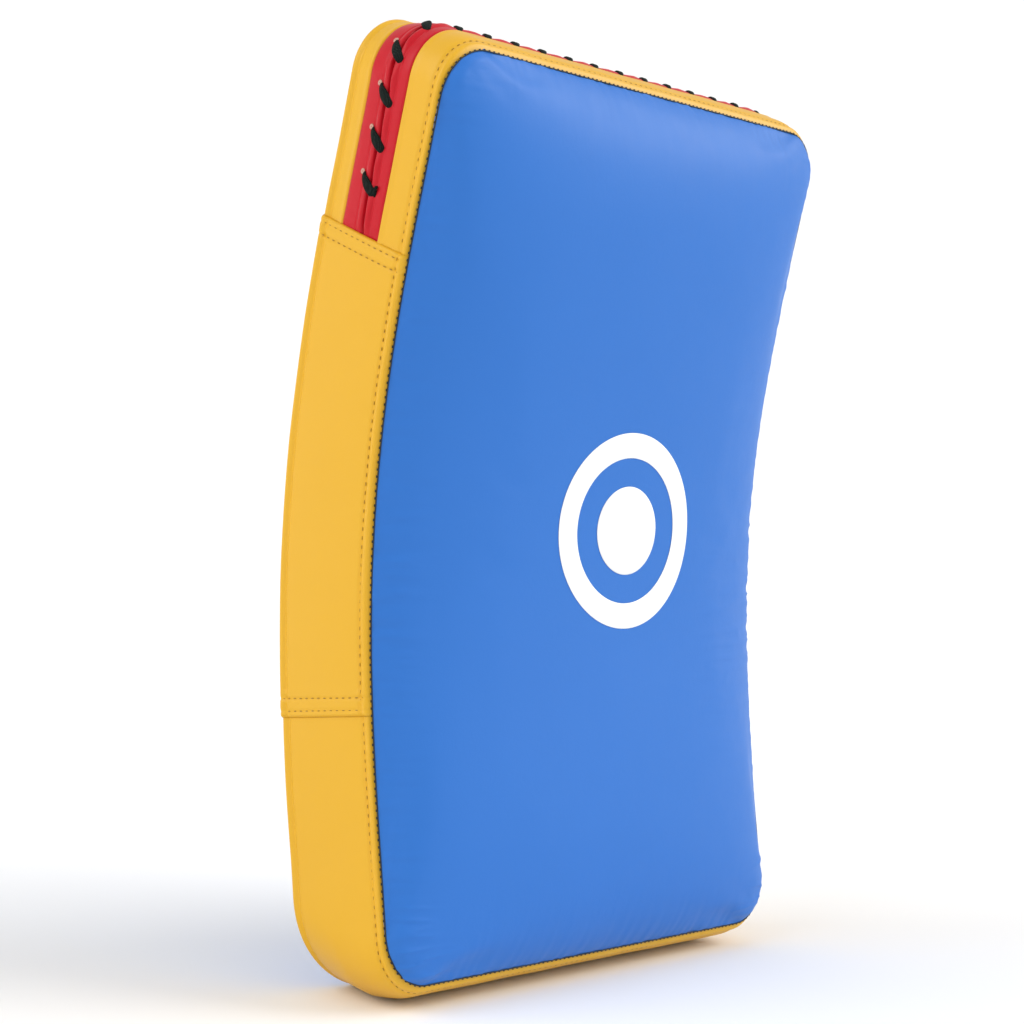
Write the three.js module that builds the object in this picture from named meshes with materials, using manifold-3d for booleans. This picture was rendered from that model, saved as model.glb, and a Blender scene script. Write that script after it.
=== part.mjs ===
// A curved kick shield: a thick foam pad in a sewn cover. The front panel is the struck face, a band
// of gusset pieces runs round the edge, and the top of the band opens at a laced slit, through which
// the foam goes in. Two arm straps and a hand grip stand on the back.
//
// Millimetres, +Z up. The shield stands on its foot and its struck face looks along -Y.

import * as THREE from 'three';
import { mergeVertices } from 'three/addons/utils/BufferGeometryUtils.js';
import Module from 'manifold-3d';

const wasm = await Module();
wasm.setup();

// Driving dimensions ----------------------------------------------------------------------------

const SEAM_HALF_WIDTH = 200; // of the front panel, between its side seams
const SEAM_HALF_LENGTH = 287.5; // of the front panel, along its curve
const DEPTH = 80; // from the front seam to the back seam
const FRONT_CORNER = 34; // corner radius at the front seam
const BACK_CORNER_TOP = 38;
const BACK_CORNER_BOTTOM = 65;

const CURVE_LENGTH = 215; // the curve is strongest at the middle and fades out beyond this length
const CURVE_ANGLE = THREE.MathUtils.degToRad(10.4); // how far each end leans forward at that length

const SKIN = 2; // cover material with its backing
const GAP = 0.3; // between pieces that touch
const FOAM_GAP = 1.2; // between foam layers, and between the foam and the cover behind it
const FRONT_EASE = 4; // between the struck face's cover and its foam

const EDGE_RISE = 19; // the front panel's rounded edge
const EDGE_WIDTH = 54;
const FRONT_CROWN = 17; // and the slow rise from there to its middle
const BACK_CROWN = 6;

const SWELL_DEPTH = 8; // the edge band bulges out within about this depth of its front seam
const END_SWELL = 9;
const END_SPREAD = 5; // the top and bottom spread towards the back
const SIDE_SWELL = 2.2;
const SIDE_TAPER = 6; // and the sides draw in

const BAND_END = DEPTH - 2 * GAP; // where the edge band meets the back panel
const FOOT_CUT = 7; // how far the foam foot is pressed flat by the floor
const PANEL_INSET = 1.5; // of the back panel's edge, which keeps it clear of the floor

const SIDE_PANEL_TOP = 158; // the side panels lie over the ends of the top and bottom bands
const SIDE_PANEL_SLANT = 14; // their top hem is higher at the back
const SIDE_PANEL_BOTTOM = -122;
const HEM_OVERLAP = 15;

const FRONT_STRIP_END = 27; // depths at which the laced top band changes from piece to piece
const SLIT = 41;
const SLIT_WIDTH = 1;
const BACK_STRIP_START = 60;

const LACE_RADIUS = 1.75;
const LACE_PITCH = 27.4;
const LACE_SLANT = 12; // how far each outer stretch of lace runs along the slit
const LACE_TURNS = 21;
const LACE_HOLE_RADIUS = 3.6;
const KNOT_RADIUS = 2.8;
const LACE_HOLE_BACK = SLIT + 7.5;
const LACE_HOLE_FRONT = SLIT - 5;

const FRONT_FOAM_END = 22;
const MIDDLE_FOAM_END = 54;
const MIDDLE_FOAM_INSET = 10.5; // leaves room for the lace's inner stretches

const TARGET_ACROSS = 3; // the print's centre, beside and below the panel's
const TARGET_CENTRE = -3.4;
const TARGET_RING_OUTER = 70;
const TARGET_RING_INNER = 52;
const TARGET_DISC = 31.6;
const PRINT_FILM = 0.4;
const PRINT_STANDOFF = 1; // clears the flat faces that the front panel is made of

const STRAP_WIDTH = 50;
const STRAP_THICKNESS = 5;
const STRAP_SPAN = 108.5; // half the distance between its two standing ends
const STRAP_HEIGHT = 57; // clear of the back panel at the middle
const STRAP_FOOT = 12; // height of the moving arch's ends above the panel
const PAD_THICKNESS = 6;
const PAD_SPAN = 72;
const LOWER_STRAP = -130;
const UPPER_STRAP = 10;

const GRIP = 150;
const GRIP_WIDTH = 25;
const GRIP_THICKNESS = 4;
const GRIP_SPAN = 66;
const GRIP_HEIGHT = 52;
const SLEEVE_LENGTH = 96;
const SLEEVE_WIDTH = 38;
const SLEEVE_THICKNESS = 28;

// Shield coordinates: u across, s up along the curve, n into the depth from the front seam ------------

function curveAt(s) {
  const q = s / CURVE_LENGTH;
  const rate = 1.5 * CURVE_ANGLE;
  return {
    lean: rate * (q - q ** 3 / 3),
    y: -rate * CURVE_LENGTH * (q ** 2 / 2 - q ** 4 / 12),
    z: s - (rate ** 2 * CURVE_LENGTH / 2) * (q ** 3 / 3 - 2 * q ** 5 / 15 + q ** 7 / 63),
  };
}

function onShield(u, s, n) {
  const { lean, y, z } = curveAt(s);
  return new THREE.Vector3(u, y + n * Math.cos(lean), z + n * Math.sin(lean));
}

function swell(n) {
  return 1 - Math.exp(-Math.max(n, 0) / SWELL_DEPTH);
}

function halfWidth(n) {
  return SEAM_HALF_WIDTH + SIDE_SWELL * swell(n) - SIDE_TAPER * (Math.max(n, 0) / DEPTH) ** 2;
}

// Half the length along the curve, before the floor presses the foot.
function freeHalfLength(n) {
  return SEAM_HALF_LENGTH + END_SWELL * swell(n) + END_SPREAD * Math.max(n, 0) / DEPTH;
}

const FLOOR = onShield(0, -freeHalfLength(DEPTH), DEPTH).z + FOOT_CUT;

// At the bottom end, what would reach below the floor is shortened until it lies on it.
function halfLength(n, end) {
  let length = freeHalfLength(n);
  if (end > 0 || onShield(0, -length, n).z > FLOOR) {
    return length;
  }
  for (let step = 0; step < 5; step += 1) {
    const slope = onShield(0, -length, n).z - onShield(0, -length - 1, n).z;
    length -= (FLOOR - onShield(0, -length, n).z) / slope;
  }
  return length;
}

function cornerRadius(n, end) {
  const back = end > 0 ? BACK_CORNER_TOP : BACK_CORNER_BOTTOM;
  return THREE.MathUtils.lerp(FRONT_CORNER, back, Math.max(n, 0) / DEPTH);
}

// A point of the outline at depth n: a and c run from -1 to 1 across and along it.
function inOutline(a, c, n, inset) {
  const end = Math.sign(c) || 1;
  const width = halfWidth(n) - inset;
  const length = halfLength(n, end) - inset;
  const radius = cornerRadius(n, end) - inset;
  const s = c * length;
  const intoCorner = Math.max(Math.abs(s) - (length - radius), 0);
  const across = width - radius + Math.sqrt(Math.max(radius ** 2 - intoCorner ** 2, 0));
  return [a * across, s];
}

// How far a point lies inside the front seam.
function insideSeam(u, s) {
  const x = Math.abs(u) - (SEAM_HALF_WIDTH - FRONT_CORNER);
  const y = Math.abs(s) - (SEAM_HALF_LENGTH - FRONT_CORNER);
  const outside = Math.hypot(Math.max(x, 0), Math.max(y, 0));
  return FRONT_CORNER - outside - Math.min(Math.max(x, y), 0);
}

function dome(u, s, n) {
  return Math.max(1 - (u / halfWidth(n)) ** 2, 0) * Math.max(1 - (s / freeHalfLength(n)) ** 4, 0);
}

// Depth of the front panel's inner face: its rounded edge, then the slow rise to the middle.
function frontFace(u, s) {
  const edge = THREE.MathUtils.clamp(insideSeam(u, s) / EDGE_WIDTH, 0, 1);
  return -EDGE_RISE * (1 - (1 - edge) ** 2) - FRONT_CROWN * dome(u, s, 0);
}

function backFace(u, s) {
  return DEPTH + BACK_CROWN * dome(u, s, DEPTH);
}

// Shape builders ------------------------------------------------------------------------------------

// Closer steps towards both ends of a span from -1 to 1, where the corners are.
function spread(t) {
  return Math.sin(t * Math.PI / 2);
}

function signedVolume(geometry) {
  const position = geometry.getAttribute('position');
  const corners = [new THREE.Vector3(), new THREE.Vector3(), new THREE.Vector3()];
  const index = geometry.index;
  let volume = 0;
  for (let i = 0; i < index.count; i += 3) {
    corners.forEach((corner, k) => corner.fromBufferAttribute(position, index.getX(i + k)));
    volume += corners[0].dot(corners[1].clone().cross(corners[2])) / 6;
  }
  return volume;
}

// Moves every vertex of a closed geometry and keeps its faces pointing out.
function reshape(source, place) {
  source.deleteAttribute('normal');
  source.deleteAttribute('uv');
  const position = source.getAttribute('position');
  for (let i = 0; i < position.count; i += 1) {
    const to = place(position.getX(i), position.getY(i), position.getZ(i));
    position.setXYZ(i, to.x, to.y, to.z);
  }
  const geometry = mergeVertices(source, 1e-3);
  if (signedVolume(geometry) < 0) {
    geometry.setIndex(Array.from(geometry.index.array).reverse());
  }
  geometry.computeVertexNormals();
  return geometry;
}

// A panel or foam layer that fills the outline between two depths.
function layer({ across, along, inset, outlines, front, back }) {
  const box = new THREE.BoxGeometry(2, 2, 2, across, 1, along);
  return reshape(box, (x, y, z) => {
    const [u, s] = inOutline(spread(x), spread(z), y < 0 ? outlines[0] : outlines[1], inset);
    return onShield(u, s, y < 0 ? front(u, s) : back(u, s));
  });
}

// A point of the edge band, followed from the middle of one end and round a corner down the side.
// It also gives the outward direction there.
function roundEnd(end, distance, n) {
  const side = Math.sign(distance) || 1;
  const travelled = Math.abs(distance);
  const flat = SEAM_HALF_WIDTH - FRONT_CORNER;
  const arc = FRONT_CORNER * Math.PI / 2;
  const width = halfWidth(n);
  const length = halfLength(n, end);
  const radius = cornerRadius(n, end);
  if (travelled <= flat) {
    const u = side * (width - radius) * travelled / flat;
    return { u, s: end * length, out: [0, end] };
  }
  const angle = Math.min((travelled - flat) / arc, 1) * Math.PI / 2;
  const down = Math.max(travelled - flat - arc, 0);
  return {
    u: side * (width - radius + radius * Math.sin(angle)),
    s: end * (length - radius + radius * Math.cos(angle) - down),
    out: [side * Math.sin(angle), end * Math.cos(angle)],
  };
}

// The distances at which a band round one end is divided: closely round its two corners.
function endStations(end, sideEnd) {
  const flat = SEAM_HALF_WIDTH - FRONT_CORNER;
  const arc = FRONT_CORNER * Math.PI / 2;
  const reach = flat + arc + SEAM_HALF_LENGTH - FRONT_CORNER - end * sideEnd;
  const half = [];
  const steps = [[0, flat, 2], [flat, flat + arc, 6], [flat + arc, reach, 3]];
  for (const [start, stop, count] of steps) {
    for (let i = 1; i <= count; i += 1) {
      half.push(THREE.MathUtils.lerp(start, stop, i / count));
    }
  }
  return [...half.map((d) => -d).reverse(), 0, ...half];
}

// A strip of cover material. place(station, n) gives its outer face, lifted out by lift.
function band({ stations, place, depths, lift = 0 }) {
  const box = new THREE.BoxGeometry(stations.length - 1, 1, 1, stations.length - 1, 1, depths.length - 1);
  const half = (stations.length - 1) / 2;
  return reshape(box, (x, y, z) => {
    const n = depths[Math.round((z + 0.5) * (depths.length - 1))];
    const { u, s, out } = place(stations[Math.round(x + half)], n);
    const offset = lift - (y < 0 ? SKIN : 0);
    return onShield(u + offset * out[0], s + offset * out[1], n);
  });
}

function endBand(end, sideEnd, depths) {
  return band({
    stations: endStations(end, sideEnd),
    place: (distance, n) => roundEnd(end, distance, n),
    depths,
  });
}

function sidePanel(side) {
  const steps = 12;
  return band({
    stations: Array.from({ length: steps + 1 }, (_, i) => i / steps),
    place: (t, n) => ({
      u: side * halfWidth(n),
      s: THREE.MathUtils.lerp(SIDE_PANEL_BOTTOM, SIDE_PANEL_TOP + SIDE_PANEL_SLANT * n / DEPTH, t),
      out: [side, 0],
    }),
    depths: [GAP, 5, 12, 24, 44, 62, BAND_END],
    lift: SKIN + GAP,
  });
}

// A ring or disc of printed film on the front panel.
function printed(inner, outer) {
  const half = PRINT_FILM / 2;
  const profile = [[inner, -half], [(inner + outer) / 2, -half], [outer, -half],
    [outer, half], [(inner + outer) / 2, half], [inner, half]];
  const points = profile.map(([r, y]) => new THREE.Vector2(r, y));
  if (inner > 0) {
    points.push(points[0].clone());
  }
  const lathe = new THREE.LatheGeometry(points, 40);
  return reshape(lathe, (x, y, z) => {
    const u = TARGET_ACROSS + x;
    const s = TARGET_CENTRE + z;
    return onShield(u, s, frontFace(u, s) - SKIN - PRINT_STANDOFF - half + y);
  });
}

// Booleans --------------------------------------------------------------------------------------------

function toSolid(geometry) {
  const bare = geometry.clone();
  bare.deleteAttribute('normal');
  bare.deleteAttribute('uv');
  const merged = mergeVertices(bare, 1e-4);
  return new wasm.Manifold(new wasm.Mesh({
    numProp: 3,
    vertProperties: new Float32Array(merged.getAttribute('position').array),
    triVerts: new Uint32Array(merged.index.array),
  }));
}

function toGeometry(solid) {
  const mesh = solid.getMesh();
  const geometry = new THREE.BufferGeometry();
  geometry.setAttribute('position', new THREE.BufferAttribute(mesh.vertProperties, 3));
  geometry.setIndex(new THREE.BufferAttribute(mesh.triVerts, 1));
  geometry.computeVertexNormals();
  return geometry;
}

// Lacing ----------------------------------------------------------------------------------------------

// A point on or off the top band, and the band's outward direction in space.
function nearTopBand(distance, n, offset) {
  const { u, s, out } = roundEnd(1, distance, n);
  return onShield(u + offset * out[0], s + offset * out[1], n);
}

// The holes' distances along the top band, counted from the right end of the slit.
function backHole(turn) {
  return (LACE_SLANT + LACE_TURNS * LACE_PITCH) / 2 - turn * LACE_PITCH;
}

function frontHole(turn) {
  return backHole(turn) - LACE_SLANT;
}

// Round holes through a lacing flap, square to its surface.
function punched(geometry, holes, n) {
  let flap = toSolid(geometry);
  for (const distance of holes) {
    const inner = nearTopBand(distance, n, -3 * SKIN);
    const outer = nearTopBand(distance, n, 2 * SKIN);
    const punch = new THREE.CylinderGeometry(LACE_HOLE_RADIUS, LACE_HOLE_RADIUS, inner.distanceTo(outer), 6);
    const direction = outer.clone().sub(inner).normalize();
    punch.applyQuaternion(new THREE.Quaternion().setFromUnitVectors(new THREE.Vector3(0, 1, 0), direction));
    punch.translate(...inner.add(outer).multiplyScalar(0.5));
    flap = flap.subtract(toSolid(punch));
  }
  return toGeometry(flap);
}

// One cord wound round the slit: over it outside, through a front hole, and back inside.
function laceCord() {
  const outside = LACE_RADIUS + 0.8;
  const inside = -SKIN - LACE_RADIUS - 0.8;
  const points = [];
  for (let turn = 0; turn <= LACE_TURNS; turn += 1) {
    const back = backHole(turn);
    const front = frontHole(turn);
    points.push(
      nearTopBand(back, LACE_HOLE_BACK, inside + 1),
      nearTopBand(back, LACE_HOLE_BACK, -SKIN / 2),
      nearTopBand(back - 1, LACE_HOLE_BACK - 0.6, outside - 1.2),
      nearTopBand((back + front) / 2, (LACE_HOLE_BACK + LACE_HOLE_FRONT) / 2, outside + 0.8),
      nearTopBand(front + 1, LACE_HOLE_FRONT + 0.6, outside - 1.2),
      nearTopBand(front, LACE_HOLE_FRONT, -SKIN / 2),
      nearTopBand(front, LACE_HOLE_FRONT, inside + 1),
    );
    if (turn < LACE_TURNS) {
      points.push(nearTopBand((front + backHole(turn + 1)) / 2, SLIT, inside - 0.6));
    }
  }
  const path = new THREE.CatmullRomCurve3(points, false, 'centripetal');
  const section = new THREE.Shape().absarc(0, 0, LACE_RADIUS, 0, 2 * Math.PI);
  return new THREE.ExtrudeGeometry(section, {
    extrudePath: path,
    steps: LACE_TURNS * 8,
    curveSegments: 3,
    bevelEnabled: false,
  });
}

// The knot that keeps each end of the lace from pulling through its hole, tied under the flap.
function laceKnot(distance, n) {
  const knot = new THREE.SphereGeometry(KNOT_RADIUS, 10, 6);
  const centre = nearTopBand(distance, n, -SKIN - 1.7 - GAP - KNOT_RADIUS);
  return knot.translate(centre.x, centre.y, centre.z);
}

// Straps and grip on the back -----------------------------------------------------------------------------

// A point d above the back panel's outer face.
function onBack(u, s, d) {
  return onShield(u, s, backFace(u, s) + SKIN + d);
}

// A flat band swept along a path of (u, d) points, standing on the back at height s.
function strapAlong(points, { height, width, thickness, segments }) {
  const path = new THREE.CatmullRomCurve3(points.map(([u, d]) => new THREE.Vector3(u, d, 0)), false, 'centripetal');
  const box = new THREE.BoxGeometry(1, thickness, width, segments, 1, 2);
  return reshape(box, (x, y, z) => {
    const t = x + 0.5;
    const centre = path.getPoint(t);
    const tangent = path.getTangent(t);
    return onBack(centre.x - tangent.y * y, height + z, centre.y + tangent.x * y);
  });
}

// The half path of an arch is mirrored, so that it starts and ends on the panel's two sides.
function archPoints(half) {
  return [...half.map(([u, d]) => [-u, d]), ...half.slice(0, -1).reverse()];
}

function armStrap(height) {
  const half = [[STRAP_SPAN, STRAP_FOOT], [STRAP_SPAN, 0.45 * STRAP_HEIGHT], [0.93 * STRAP_SPAN, 0.75 * STRAP_HEIGHT],
    [0.78 * STRAP_SPAN, 0.92 * STRAP_HEIGHT], [0.45 * STRAP_SPAN, STRAP_HEIGHT], [0, STRAP_HEIGHT]];
  return strapAlong(archPoints(half), {
    height, width: STRAP_WIDTH, thickness: STRAP_THICKNESS, segments: 22,
  });
}

function armPad(height) {
  const under = STRAP_HEIGHT - STRAP_THICKNESS / 2 - PAD_THICKNESS / 2 - 2 * GAP;
  const half = [[PAD_SPAN, under - 3.2], [0.75 * PAD_SPAN, under - 0.6], [0.45 * PAD_SPAN, under], [0, under]];
  return strapAlong(archPoints(half), {
    height, width: STRAP_WIDTH - 8, thickness: PAD_THICKNESS, segments: 10,
  });
}

// The sewn-down end of a strap: flat on the panel, then turned up beside the moving arch.
function anchor(side, height, { span, width, thickness }) {
  const post = span + thickness + 1;
  const lie = thickness / 2 + 2 * GAP;
  const points = [[post + 42, lie], [post + 24, lie], [post + 8, lie], [post + 1.5, lie + 2.5], [post, STRAP_FOOT - 3],
    [post, STRAP_FOOT + 2]];
  return strapAlong(points.map(([u, d]) => [side * u, d]), { height, width, thickness, segments: 10 });
}

function gripWebbing() {
  const half = [[GRIP_SPAN, STRAP_FOOT], [GRIP_SPAN, 0.5 * GRIP_HEIGHT], [0.95 * GRIP_SPAN, 0.8 * GRIP_HEIGHT],
    [0.82 * GRIP_SPAN, 0.97 * GRIP_HEIGHT], [0.7 * GRIP_SPAN, GRIP_HEIGHT], [0.35 * GRIP_SPAN, GRIP_HEIGHT],
    [0, GRIP_HEIGHT]];
  return strapAlong(archPoints(half), {
    height: GRIP, width: GRIP_WIDTH, thickness: GRIP_THICKNESS, segments: 24,
  });
}

// A padded tube round the middle of the grip, with a flat channel for the webbing.
function gripSleeve() {
  const outline = new THREE.Shape().absellipse(0, 0, SLEEVE_WIDTH / 2, SLEEVE_THICKNESS / 2, 0, 2 * Math.PI);
  const slotX = GRIP_WIDTH / 2 + 2 * GAP;
  const slotY = GRIP_THICKNESS / 2 + 4 * GAP;
  const slot = [[-slotX, -slotY], [-slotX, slotY], [slotX, slotY], [slotX, -slotY]];
  outline.holes.push(new THREE.Path(slot.map(([x, y]) => new THREE.Vector2(x, y))));
  const tube = new THREE.ExtrudeGeometry(outline, {
    depth: SLEEVE_LENGTH, steps: 4, curveSegments: 8, bevelEnabled: false,
  });
  return reshape(tube, (x, y, z) => onBack(z - SLEEVE_LENGTH / 2, GRIP + x, GRIP_HEIGHT + y));
}

// Materials -------------------------------------------------------------------------------------------

function material(color, roughness) {
  return new THREE.MeshStandardMaterial({ color, roughness, metalness: 0 });
}

const BLUE_LEATHER = { color: 0x3f7bd0, roughness: 0.45 };
const YELLOW_LEATHER = { color: 0xf3bd3c, roughness: 0.45 };
const RED_LEATHER = { color: 0xc8283a, roughness: 0.4 };
const BLACK_LEATHER = { color: 0x1b1c20, roughness: 0.55 };
const WHITE_PRINT = { color: 0xfbfdfc, roughness: 0.5 };
const LACE_CORD = { color: 0x10201b, roughness: 0.9 };
const WEBBING = { color: 0x202226, roughness: 0.85 };
const SOFT_FOAM = { color: 0xe8dfc4, roughness: 0.95 };
const WHITE_FOAM = { color: 0xf2f2ef, roughness: 0.9 };
const FIRM_FOAM = { color: 0x303338, roughness: 0.9 };

// Assembly --------------------------------------------------------------------------------------------

const shield = new THREE.Group();

function add(name, geometry, { color, roughness }) {
  const mesh = new THREE.Mesh(geometry, material(color, roughness));
  mesh.name = name;
  shield.add(mesh);
}

add('front_panel', layer({
  across: 12, along: 16, inset: 0, outlines: [0, 0],
  front: (u, s) => frontFace(u, s) - SKIN, back: frontFace,
}), BLUE_LEATHER);
add('target_ring', printed(TARGET_RING_INNER, TARGET_RING_OUTER), WHITE_PRINT);
add('target_disc', printed(0, TARGET_DISC), WHITE_PRINT);
add('back_panel', layer({
  across: 10, along: 16, inset: PANEL_INSET, outlines: [DEPTH, DEPTH],
  front: backFace, back: (u, s) => backFace(u, s) + SKIN,
}), BLUE_LEATHER);

const foamInset = SKIN + FOAM_GAP;
add('foam_front', layer({
  across: 12, along: 16, inset: foamInset, outlines: [0, FRONT_FOAM_END],
  front: (u, s) => frontFace(u, s) + FRONT_EASE, back: () => FRONT_FOAM_END,
}), SOFT_FOAM);
add('foam_middle', layer({
  across: 8, along: 16, inset: MIDDLE_FOAM_INSET, outlines: [FRONT_FOAM_END, MIDDLE_FOAM_END],
  front: () => FRONT_FOAM_END + FOAM_GAP, back: () => MIDDLE_FOAM_END,
}), WHITE_FOAM);
add('foam_back_board', layer({
  across: 10, along: 16, inset: foamInset, outlines: [MIDDLE_FOAM_END, DEPTH],
  front: () => MIDDLE_FOAM_END + FOAM_GAP, back: (u, s) => backFace(u, s) - FOAM_GAP,
}), FIRM_FOAM);

const bandDepths = [GAP, 5, 12, 22, 34, 46, 56, 68, BAND_END];
add('gusset_bottom', endBand(-1, SIDE_PANEL_BOTTOM + HEM_OVERLAP, bandDepths), YELLOW_LEATHER);
add('gusset_side_left', sidePanel(-1), YELLOW_LEATHER);
add('gusset_side_right', sidePanel(1), YELLOW_LEATHER);

const topEnd = SIDE_PANEL_TOP - HEM_OVERLAP;
const holesBack = Array.from({ length: LACE_TURNS + 1 }, (_, turn) => backHole(turn));
const holesFront = Array.from({ length: LACE_TURNS + 1 }, (_, turn) => frontHole(turn));
const slitBack = SLIT + SLIT_WIDTH;
const flapFront = endBand(1, topEnd, [FRONT_STRIP_END + GAP, SLIT]);
const flapBack = endBand(1, topEnd, [slitBack, BACK_STRIP_START - GAP]);
add('gusset_top_front', endBand(1, topEnd, [GAP, 5, 12, FRONT_STRIP_END]), YELLOW_LEATHER);
add('lacing_flap_front', punched(flapFront, holesFront, LACE_HOLE_FRONT), RED_LEATHER);
add('lacing_flap_back', punched(flapBack, holesBack, LACE_HOLE_BACK), RED_LEATHER);
add('gusset_top_back', endBand(1, topEnd, [BACK_STRIP_START, BAND_END]), YELLOW_LEATHER);
add('lace', laceCord(), LACE_CORD);
add('lace_knot_right', laceKnot(backHole(0), LACE_HOLE_BACK), LACE_CORD);
add('lace_knot_left', laceKnot(frontHole(LACE_TURNS), LACE_HOLE_FRONT), LACE_CORD);

for (const [name, height] of [['lower', LOWER_STRAP], ['upper', UPPER_STRAP]]) {
  const size = { span: STRAP_SPAN, width: STRAP_WIDTH, thickness: STRAP_THICKNESS };
  add(`arm_strap_${name}`, armStrap(height), BLACK_LEATHER);
  add(`arm_pad_${name}`, armPad(height), BLACK_LEATHER);
  add(`arm_strap_${name}_end_left`, anchor(-1, height, size), BLACK_LEATHER);
  add(`arm_strap_${name}_end_right`, anchor(1, height, size), BLACK_LEATHER);
}

const gripSize = { span: GRIP_SPAN, width: GRIP_WIDTH, thickness: GRIP_THICKNESS };
add('grip_webbing', gripWebbing(), WEBBING);
add('grip_sleeve', gripSleeve(), BLACK_LEATHER);
add('grip_end_left', anchor(-1, GRIP, gripSize), WEBBING);
add('grip_end_right', anchor(1, GRIP, gripSize), WEBBING);

// The origin is on the floor, under the middle of the shield's box.
const box = new THREE.Box3().setFromObject(shield);
shield.position.set(0, -(box.min.y + box.max.y) / 2, -box.min.z);

export default shield;
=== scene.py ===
"""The kick shield's looks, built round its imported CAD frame.

Shield coordinates are in millimetres, as in the CAD model: u across, s up along the curve and n into
the depth from the front seam. place() turns them into metres in the row frame.
"""

import math

import bpy
import numpy as np
from mathutils import Matrix, Vector, noise
from mathutils.bvhtree import BVHTree


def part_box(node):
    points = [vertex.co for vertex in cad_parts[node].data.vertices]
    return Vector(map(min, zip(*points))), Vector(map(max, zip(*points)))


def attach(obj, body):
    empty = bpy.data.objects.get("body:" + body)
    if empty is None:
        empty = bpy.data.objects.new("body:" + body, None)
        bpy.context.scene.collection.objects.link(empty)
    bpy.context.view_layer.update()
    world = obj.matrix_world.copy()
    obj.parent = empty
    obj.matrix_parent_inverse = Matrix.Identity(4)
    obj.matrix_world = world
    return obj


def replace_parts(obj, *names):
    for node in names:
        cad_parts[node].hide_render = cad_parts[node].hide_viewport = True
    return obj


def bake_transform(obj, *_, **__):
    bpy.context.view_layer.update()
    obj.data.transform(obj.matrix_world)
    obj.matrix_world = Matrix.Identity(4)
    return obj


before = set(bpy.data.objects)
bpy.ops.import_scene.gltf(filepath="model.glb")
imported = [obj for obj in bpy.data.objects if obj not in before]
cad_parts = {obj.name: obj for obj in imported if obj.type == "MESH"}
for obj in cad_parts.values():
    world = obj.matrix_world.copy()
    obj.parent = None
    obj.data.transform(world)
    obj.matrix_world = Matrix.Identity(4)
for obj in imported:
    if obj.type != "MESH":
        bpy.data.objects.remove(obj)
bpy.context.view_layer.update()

# Driving dimensions, in millimetres -------------------------------------------------------------------

MM = 0.001
SEAM_HALF_WIDTH = 200.0
SEAM_HALF_LENGTH = 287.5
DEPTH = 80.0
FRONT_CORNER = 34.0
BACK_CORNER_TOP = 38.0
BACK_CORNER_BOTTOM = 65.0
CURVE_LENGTH = 215.0
CURVE_ANGLE = math.radians(10.4)
SKIN = 2.0
EDGE_RISE = 19.0
EDGE_WIDTH = 54.0
FRONT_CROWN = 17.0
BACK_CROWN = 6.0
SWELL_DEPTH = 8.0
END_SWELL = 9.0
END_SPREAD = 5.0
SIDE_SWELL = 2.2
SIDE_TAPER = 3.5  # the filled cover stands a little wider at the back than its CAD solid
FOOT_CUT = 7.0
SIDE_PANEL_TOP = 158.0
SIDE_PANEL_SLANT = 14.0
SIDE_PANEL_BOTTOM = -122.0
SIDE_PANEL_LIFT = 1.7
FRONT_STRIP_END = 27.0
BACK_STRIP_START = 60.0
SLIT = 41.0
LACE_PITCH = 27.4
LACE_SLANT = 12.0
LACE_TURNS = 21
LACE_HALF_WIDTH = 2.9
LACE_HALF_THICKNESS = 1.25
LACE_WINDOW = 20  # points of the lace's path on each side that average to the middle of its turns
HOLE_BACK = SLIT + 7.5
HOLE_FRONT = SLIT - 5.0
TARGET_ACROSS = 3.0
TARGET_CENTRE = -3.4
TARGET_RING = (52.0, 70.0)
TARGET_DISC = 31.6
STRAP_WIDTH = 50.0
STRAP_THICKNESS = 5.0
STRAP_SPAN = 108.5
STRAP_HEIGHT = 57.0
STRAP_HEIGHTS = {"lower": -130.0, "upper": 10.0}
GRIP = 150.0
GRIP_WIDTH = 25.0
GRIP_SPAN = 66.0
GRIP_HEIGHT = 52.0
SLEEVE_LENGTH = 96.0
SLEEVE_WIDTH = 38.0
SLEEVE_THICKNESS = 28.0

COVER = 1.4  # thickness of the cover material where its edge shows
SEAM_LIP = 1.5  # how quickly the struck face's cover rises from its seam
STITCH_PITCH = 5.5
STITCH_PROFILE = ((-0.5, 0.45), (-0.3, 1.0), (0.3, 1.0), (0.5, 0.45))  # place and size along a stitch
STITCH_SIDES = 6
STITCH_SINK = 0.55  # how deep the top stitching lies in the band
TOP_STITCH = 7.0  # distance of the top stitching from a seam
HEM_ROWS = (4.0, 11.5)  # distances of a side panel's two stitched rows from its hem
PRINT_FILM = 0.15
PANEL_OVERLAP = 15.0  # how much of each band's end lies under a side panel
HEM_COVER = 18.0  # how much of each flap's end lies under the side panel's hem
FLAP_LIFT = 1.0  # how far the laced flaps stand above the yellow strips
SIMULATED_FRAMES = 20
FACE_PRESSURE = 1.0
PAD_PRESSURE = 4.0
FACE_CAP = 2.0  # the foam lets the struck face's cover move this far in the simulation
SEAM_STAYS = 6.0  # the struck face keeps its drawn shape this near its seam
SEAM_FREES = 12.0  # and is rounded off fully this much further in
ROUNDING_PASSES = 80
SIDE_WRINKLES_START = 145.0  # where the wrinkles turn to run in from the side seams
SIDE_WRINKLES_FADE = 25.0
WRINKLE_STRETCH = 0.16
PUCKER_HEIGHT = 0.9
FOLD_HEIGHT = 1.1
RIGHT_FOLD_HEIGHT = 0.6
BACK_RIM_INSET = 0.8
BACK_RIM_TUCK = 1.5
PRINT_START = 0.4  # radius of the round face at the middle of the disc

# Shield coordinates -----------------------------------------------------------------------------------


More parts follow.
